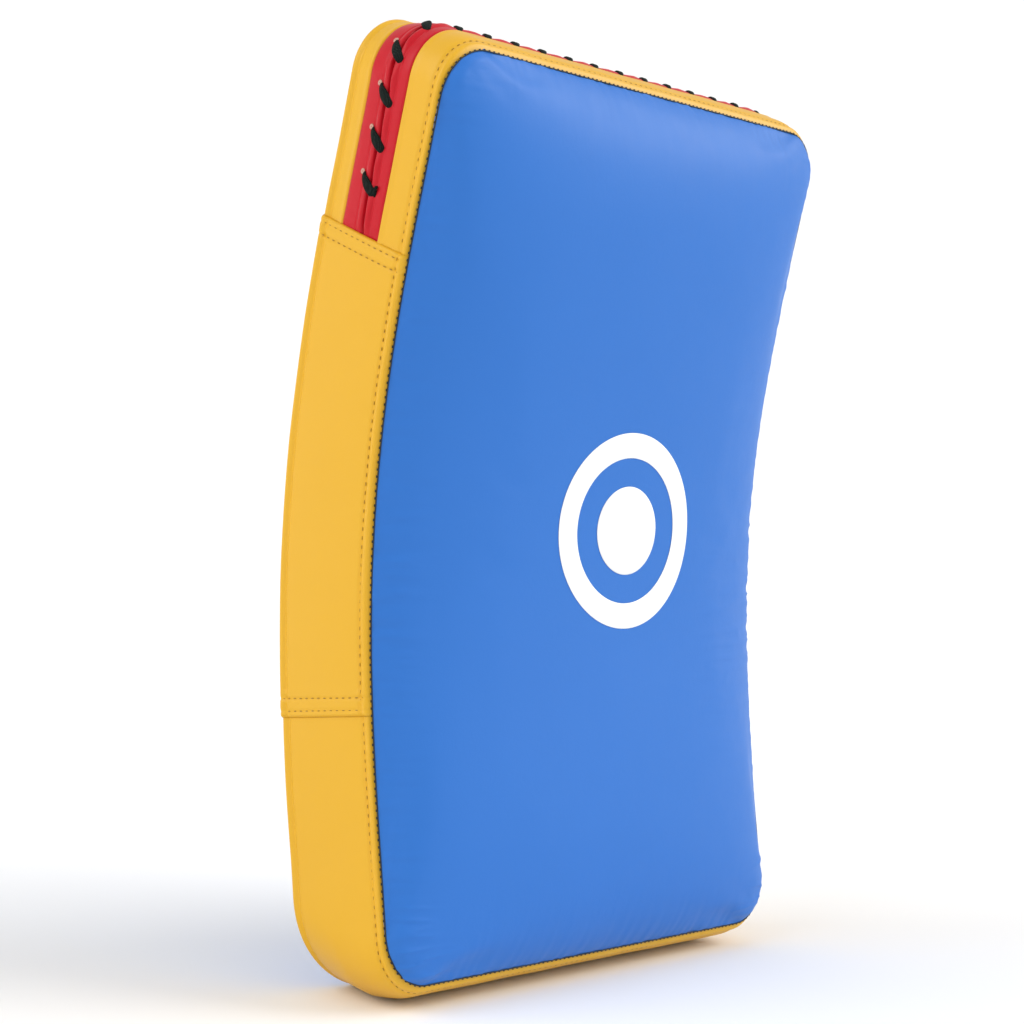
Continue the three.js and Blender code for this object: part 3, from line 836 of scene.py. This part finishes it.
def seam_lines(n, lift, panel_lift):
    """The top stitching at depth n: round the top, round the bottom and up both side panels."""
    lines = []
    for end, s_end in ((1, panel_top(n)), (-1, SIDE_PANEL_BOTTOM)):
        distance = reach_to(s_end - end * (n / DEPTH) * 10, end)
        lines.append(end_points(end, distance, n, lift))
    t = np.linspace(0.005, 0.995, 120)
    s = SIDE_PANEL_BOTTOM + (panel_top(n) - SIDE_PANEL_BOTTOM) * t
    return lines + [side_points(side, s, n, panel_lift) for side in (-1, 1)]


def top_stitching():
    lines = seam_lines(TOP_STITCH, -STITCH_SINK, SIDE_PANEL_LIFT - STITCH_SINK)
    n = np.linspace(1.5, DEPTH - 1.5, 60)
    for side in (-1, 1):
        for row in HEM_ROWS:
            for s in (SIDE_PANEL_BOTTOM + row + 0 * n, panel_top(n) - row):
                lines.append(side_points(side, s, n, SIDE_PANEL_LIFT + 0.1))
    return stitches("band_stitching", lines, YELLOW_THREAD)


def seam_outline(inset, n, step=1.5):
    """The front seam's outline at depth n, all the way round, in metres."""
    radius = FRONT_CORNER - inset
    loop = []
    for quarter in range(4):
        side = 1 if quarter in (0, 3) else -1
        end = 1 if quarter in (0, 1) else -1
        for angle in np.linspace(quarter, quarter + 1, 20) * math.pi / 2:
            loop.append((side * (SEAM_HALF_WIDTH - FRONT_CORNER) + radius * math.cos(angle),
                         end * (SEAM_HALF_LENGTH - FRONT_CORNER) + radius * math.sin(angle)))
    loop.append(loop[0])
    loop = np.array(loop)
    run = run_along(loop)
    even = np.linspace(0, run[-1], int(run[-1] / step))
    return place(np.interp(even, run, loop[:, 0]), np.interp(even, run, loop[:, 1]), n)


def front_seam():
    """The dark thread that closes the front seam, with a stitch that shows at every hole; the continuous
    dark cord along the seam is partly thread and partly painted shade in the seam's groove.
    """
    centre = seam_outline(-0.1, -0.35)
    tangent = unit(np.gradient(centre, axis=0))
    right = unit(np.cross(tangent, (0.0, 1.0, 0.0)))
    up = np.cross(right, tangent)
    # painted shade: this dark cord runs all along the seam and darkens its groove, where shade falls, as
    # well as standing for the thread
    cord = round_cord("front_seam_thread_and_shade", centre, right, up, 0.45 * MM, 8, DARK_THREAD)
    shown = stitches("front_seam_thread", [seam_outline(-0.75, 0.0)], DARK_THREAD, length=1.7, radius=0.4,
                     pitch=4.4)
    return [cord, shown]


# Lace -------------------------------------------------------------------------------------------------


def near_band(distance, n, lift):
    """One point near the top band."""
    return end_points(1, np.float64(distance), np.float64(n), np.float64(lift))


def lace_turn(turn):
    """Distance, depth and lift of one turn's points on the top band, and the lace's size at each."""
    back, front = slit_hole(turn, HOLE_BACK), slit_hole(turn, HOLE_FRONT)
    stops = [
        (back, HOLE_BACK, -5.5, 0.5),
        (back, HOLE_BACK, -1.4, 0.66),
        (back - 1.6, HOLE_BACK - 1.2, 1.5, 0.95),
        ((back + front) / 2, (HOLE_BACK + HOLE_FRONT) / 2, 2.5, 1.15),
        (front + 1.6, HOLE_FRONT + 1.2, 1.7, 0.95),
        (front, HOLE_FRONT, -1.4, 0.66),
        (front, HOLE_FRONT, -5.5, 0.5),
    ]
    if turn < LACE_TURNS:
        following = slit_hole(turn + 1, HOLE_BACK)
        stops.append(((front + following) / 2, SLIT, -6.5, 0.8))
    return stops


def away_from_coil(path, tangent):
    """Unit directions square to the path, out from the middle of the turns it winds in."""
    window = 2 * LACE_WINDOW + 1
    middle = np.stack([np.convolve(np.pad(path[:, k], LACE_WINDOW, mode="edge"), np.ones(window) / window,
                                   "valid") for k in range(3)], -1)
    away = path - middle
    return unit(away - (away * tangent).sum(1)[:, None] * tangent)


def lace():
    stops = [stop for turn in range(LACE_TURNS + 1) for stop in lace_turn(turn)]
    knots = np.array([[*(near_band(*stop[:3]) / MM), stop[3]] for stop in stops])
    path = smooth_path(knots, 1.1)
    centre, size = path[:, :3] * MM, path[:, 3:]
    tangent = unit(np.gradient(centre, axis=0))
    away = away_from_coil(centre, tangent)
    across = np.cross(tangent, away)
    rings = []
    for angle in np.linspace(0, 2 * math.pi, 14, endpoint=False):
        wide = LACE_HALF_WIDTH * math.copysign(abs(math.cos(angle)) ** 0.8, math.cos(angle))
        thick = LACE_HALF_THICKNESS * math.sin(angle)
        rings.append(centre + size * (wide * across + thick * away) * MM)
    obj = tube_object("lace_cord", np.array(rings).transpose(1, 0, 2), CORD)
    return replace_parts(obj, "lace")


def hole_edges():
    """The pale cut edge that shows beside the lace at each hole in the back flap."""
    vertices, faces = [], []
    rounds, sides = 18, 6
    for turn in range(LACE_TURNS + 1):
        middle, depth = slit_hole(turn, HOLE_BACK) + 1.2, HOLE_BACK + 0.9
        faces += grid_faces(rounds, sides, wrap_rows=True, wrap_columns=True, start=len(vertices))
        for ring in np.linspace(0, 2 * math.pi, rounds, endpoint=False):
            for turned in np.linspace(0, 2 * math.pi, sides, endpoint=False):
                radius = 1.0 + 0.9 * math.cos(turned)
                lift = 1.2 + 0.5 * math.sin(turned)
                at = near_band(middle + radius * math.sin(ring), depth + radius * math.cos(ring), lift)
                vertices.append(tuple(at))
    return new_object("lace_hole_edges", vertices, faces, PUNCHED)


# Straps and grip --------------------------------------------------------------------------------------


def arch(half, height, step):
    """A smooth path of (u, d) points: half, the mirrored way round, the top, and half again."""
    return smooth_path([(-u, d) for u, d in half] + [(0, height)] + half[::-1], step)


def strap_path(span, height, tail, clear, step):
    """A strap's path from one sewn-down end over its arch to the other."""
    half = [(span + tail, clear), (span + 0.6 * tail, clear), (span + 16, clear + 0.1),
            (span + 8, clear + 2.6), (span + 3, 13), (span + 0.3, 0.42 * height),
            (0.93 * span, 0.76 * height), (0.78 * span, 0.93 * height), (0.45 * span, height)]
    return arch(half, height, step)


def sweep_on_back(name, path, section, at, material, plump=1.0):
    """A closed band along a path of (u, d) points; the section is (width, height) points.

    plump scales the section's height, everywhere alike or at each point of the path.
    """
    tangent = unit(np.gradient(path, axis=0))
    height = section[:, 1] * np.reshape(plump, (-1, 1))
    u = path[:, :1] - tangent[:, 1:] * height
    d = path[:, 1:] + tangent[:, :1] * height
    return tube_object(name, on_back(u, at + section[:, 0], d), material)


def band_section(width, thickness, groove=0.0):
    """A flat band with rounded edges and a stitched groove inside each."""
    x = np.linspace(-1, 1, 33)
    across = np.sin(x * math.pi / 2) * width / 2
    inset = width / 2 - np.abs(across)
    half = thickness / 2 * np.sqrt(np.clip(1 - np.clip(1 - inset / (0.5 * thickness), 0, 1) ** 2, 0, 1))
    top = half - groove * bell(inset, 5, 1.0)
    upper = np.stack([across, top], -1)
    lower = np.stack([across[::-1], -half[::-1]], -1)[1:-1]
    return np.vstack([upper, lower])


def arm_strap(name, at):
    path = strap_path(STRAP_SPAN, STRAP_HEIGHT, tail=47, clear=2.9, step=2.5)
    section = band_section(STRAP_WIDTH, STRAP_THICKNESS, groove=0.4)
    obj = sweep_on_back(f"{name}_arm_strap", path, section, at, BLACK)
    nodes = [f"arm_strap_{name}", f"arm_strap_{name}_end_left", f"arm_strap_{name}_end_right"]
    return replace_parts(obj, *nodes)


def arm_pad(name, at):
    """The pad under an arm strap, thinned towards both ends."""
    under = STRAP_HEIGHT - STRAP_THICKNESS / 2 - 3.8
    path = arch([(72, under - 4.2), (60, under - 2.0), (34, under)], under, 2.5)
    plump = np.clip((74 - np.abs(path[:, 0])) / 10, 0.05, 1) ** 0.5
    section = band_section(STRAP_WIDTH - 8, 6.4)
    obj = sweep_on_back(f"{name}_arm_pad", path, section, at, BLACK, plump)
    puffed(obj, 2.2, 0.8)
    wrinkled(obj, 0.5, 14, 46)
    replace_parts(obj, f"arm_pad_{name}")
    return obj


def grip_webbing():
    path = strap_path(GRIP_SPAN, GRIP_HEIGHT, tail=44, clear=2.4, step=2.0)
    section = band_section(GRIP_WIDTH, 3.2)
    obj = sweep_on_back("grip_web", path, section, GRIP, WEBBING)
    nodes = ["grip_webbing", "grip_end_left", "grip_end_right"]
    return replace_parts(obj, *nodes)


def grip_sleeve():
    """A padded leather sleeve, gathered a little where the hand bends it and bound at both ends."""
    along = np.linspace(-1, 1, 97)
    angle = np.linspace(0, 2 * math.pi, 48, endpoint=False)
    a, t = np.meshgrid(along, angle, indexing="ij")
    u = a * SLEEVE_LENGTH / 2
    from_end = (1 - np.abs(a)) * SLEEVE_LENGTH / 2
    end = np.clip(from_end / 6, 0, 1)
    size = 0.62 + 0.38 * np.sqrt(1 - (1 - end) ** 2) - 0.03 * bell(from_end, 8, 1.2)
    across, deep = SLEEVE_WIDTH / 2 * size, SLEEVE_THICKNESS / 2 * size
    stretched = np.stack([u * 0.5, across * np.cos(t), deep * np.sin(t)], -1) * MM
    wrinkle = 1 + 0.014 * ripple(stretched, 7, 41) + 0.02 * creases(stretched, 11, 42)
    s = GRIP + across * np.cos(t) * wrinkle
    d = GRIP_HEIGHT + deep * np.sin(t) * wrinkle - 2.0 * (np.abs(a) ** 3)
    obj = tube_object("grip_pad", on_back(u, s, d), BLACK)
    puffed(obj, 2.5, 1.0)
    wrinkled(obj, 0.7, 12, 44)
    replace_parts(obj, "grip_sleeve")
    return obj


def knot(name, node):
    """The overhand knot at one end of the lace, in its CAD solid's box."""
    low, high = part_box(node)
    centre, size = np.array((low + high) / 2), min(high - low) / 2 * 0.62
    t = np.linspace(0, 2 * math.pi, 91)
    path = np.stack([np.sin(t) + 2 * np.sin(2 * t), np.cos(t) - 2 * np.cos(2 * t), -np.sin(3 * t)], -1) / 3
    path = centre + path * size
    tangent = unit(np.gradient(path, axis=0))
    right = unit(np.cross(tangent, path - centre))
    up = np.cross(right, tangent)
    obj = round_cord(name, path, right, up, size * 0.38, 10, CORD)
    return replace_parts(obj, node)


def lace_tip():
    """The cut end of the lace, which stands out beside its last stitch."""
    front = slit_hole(LACE_TURNS, HOLE_FRONT)
    route = [(front - 1, HOLE_FRONT, -1.5), (front + 1.5, HOLE_FRONT - 0.5, 0.8),
             (front + 4, HOLE_FRONT - 1.2, 2.2), (front + 6, HOLE_FRONT - 2.4, 2.6)]
    path = smooth_path([near_band(*stop) / MM for stop in route], 0.5) * MM
    out = Vector(path[-1] - path[0]).normalized()
    right = out.orthogonal().normalized()
    up = out.cross(right)
    radius = np.linspace(1.7, 1.1, len(path))[:, None] * MM
    obj = round_cord("lace_tip", path, np.array(right), np.array(up), radius, 10, CORD)
    return obj


def anchor_stitching():
    """A crossed box of stitches on each sewn-down strap end."""
    lines = []
    strap_box = (STRAP_WIDTH / 2 - 5, STRAP_SPAN + 14, STRAP_SPAN + 43, 5.45)
    boxes = [(at, *strap_box) for at in STRAP_HEIGHTS.values()]
    boxes.append((GRIP, GRIP_WIDTH / 2 - 3.5, GRIP_SPAN + 14, GRIP_SPAN + 41, 4.1))
    for at, half, near, far, d in boxes:
        for side in (-1, 1):
            corners = [(near, -half), (far, -half), (far, half), (near, half), (near, -half), (far, half),
                       (far, -half), (near, half)]
            for (u0, s0), (u1, s1) in zip(corners, corners[1:]):
                f = np.linspace(0, 1, 30)
                lines.append(on_back(side * (u0 + (u1 - u0) * f), at + s0 + (s1 - s0) * f, d))
    return stitches("anchor_stitching", lines, BLACK_THREAD, length=2.8, pitch=4.0)


# Camera, light and backdrop ---------------------------------------------------------------------------

CAMERA_AT = Vector((-1.2101, -0.9606, 0.0438)) + Vector((0, SEAM_Y, -FLOOR * MM))
CAMERA_FORWARD = Vector((0.7642, 0.6445, -0.0260))
CAMERA_UP = Vector((-0.0227, 0.0672, 0.9975))
CAMERA_FIELD = math.radians(25.18)
FLOOR_REACH = 9.0  # these three are in metres; a taller wall would keep the suns out
WALL_CURVE = 3.0
WALL_TOP = 3.6


def camera():
    data = bpy.data.cameras.new("camera")
    data.sensor_width = 36.0
    data.angle = CAMERA_FIELD
    data.clip_end = 50.0
    obj = bpy.data.objects.new("camera", data)
    bpy.context.collection.objects.link(obj)
    back = -CAMERA_FORWARD.normalized()
    right = CAMERA_UP.cross(back).normalized()
    up = back.cross(right)
    obj.matrix_world = Matrix.Translation(CAMERA_AT) @ Matrix((right, up, back)).transposed().to_4x4()
    bpy.context.scene.camera = obj


def soft_sun(name, toward, power, spread_angle=50):
    """Even light from one direction; a wide angle softens its shadows."""
    data = bpy.data.lights.new(name, "SUN")
    data.energy = power
    data.angle = math.radians(spread_angle)
    obj = bpy.data.objects.new(name, data)
    obj.rotation_euler = Vector(toward).to_track_quat("Z", "Y").to_euler()
    bpy.context.collection.objects.link(obj)


def backdrop():
    """A white floor that curves up into a low white wall all round."""
    profile = [(r, 0) for r in np.linspace(0, FLOOR_REACH, 4)]
    for t in np.linspace(0.1, math.pi / 2, 12):
        profile.append((FLOOR_REACH + WALL_CURVE * math.sin(t), WALL_CURVE - WALL_CURVE * math.cos(t)))
    profile.append((FLOOR_REACH + WALL_CURVE, WALL_TOP))
    angle = np.linspace(0, 2 * math.pi, 96, endpoint=False)
    points = np.array([[(r * math.cos(t), r * math.sin(t), z) for t in angle] for r, z in profile])
    nodes = Nodes("pale_floor")
    tone = nodes.texture("ShaderNodeTexNoise", 1.5, Detail=2.0).outputs["Fac"]
    nodes.set(Base_Color=nodes.mix(tone, rgb(0.90, 0.90, 0.90), rgb(0.92, 0.92, 0.92)), Roughness=0.95)
    faces = grid_faces(*points.shape[:2], wrap_columns=True)
    new_object("floor", points.reshape(-1, 3).tolist(), faces, nodes.material)


def lighting():
    world = bpy.data.worlds.new("world")
    bpy.context.scene.world = world
    world.use_nodes = True
    background = world.node_tree.nodes["Background"]
    background.inputs["Color"].default_value = (1.0, 1.0, 1.0, 1.0)
    background.inputs["Strength"].default_value = 0.66
    soft_sun("key", toward=(0.68, -0.58, 0.45), power=2.4)
    soft_sun("side", toward=(-0.8, 0.2, 0.57), power=1.3)
    bpy.context.scene.view_settings.view_transform = "Standard"


# Assembly ---------------------------------------------------------------------------------------------

camera()
backdrop()
lighting()

front_cover, face = front_panel()
on_root = [
    front_cover,
    back_panel(),
    target("target_ring_print", *TARGET_RING, "target_ring", face),
    target("target_disc_print", 0.0, TARGET_DISC, "target_disc", face),
    bottom_gusset(),
    *top_strips(),
    *flaps(),
    side_panel(-1, "left_side_panel", "gusset_side_left"),
    side_panel(1, "right_side_panel", "gusset_side_right"),
    top_stitching(),
    *front_seam(),
    lace(),
    lace_tip(),
    knot("knot_left", "lace_knot_left"),
    knot("knot_right", "lace_knot_right"),
    hole_edges(),
    anchor_stitching(),
]
for piece in on_root:
    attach(piece, "root")

for name, at in STRAP_HEIGHTS.items():
    body = f"{name}_strap"
    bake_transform(arm_strap(name, at), "root", body, start=on_back(0, at, 4), end=on_back(0, at, 20))
    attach(arm_pad(name, at), body)

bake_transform(grip_webbing(), "root", "grip", start=on_back(0, GRIP, 4), end=on_back(0, GRIP, 20))
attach(grip_sleeve(), "grip")

cores = {
    "foam_front": foam("soft_foam", rgb(0.8, 0.74, 0.55), rgb(0.6, 0.52, 0.35), 700),
    "foam_middle": foam("white_foam", rgb(0.88, 0.88, 0.86), rgb(0.7, 0.7, 0.68), 500),
    "foam_back_board": foam("firm_foam", rgb(0.03, 0.034, 0.04), rgb(0.01, 0.011, 0.013), 900),
}
for node, material in cores.items():
    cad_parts[node].data.materials[0] = material
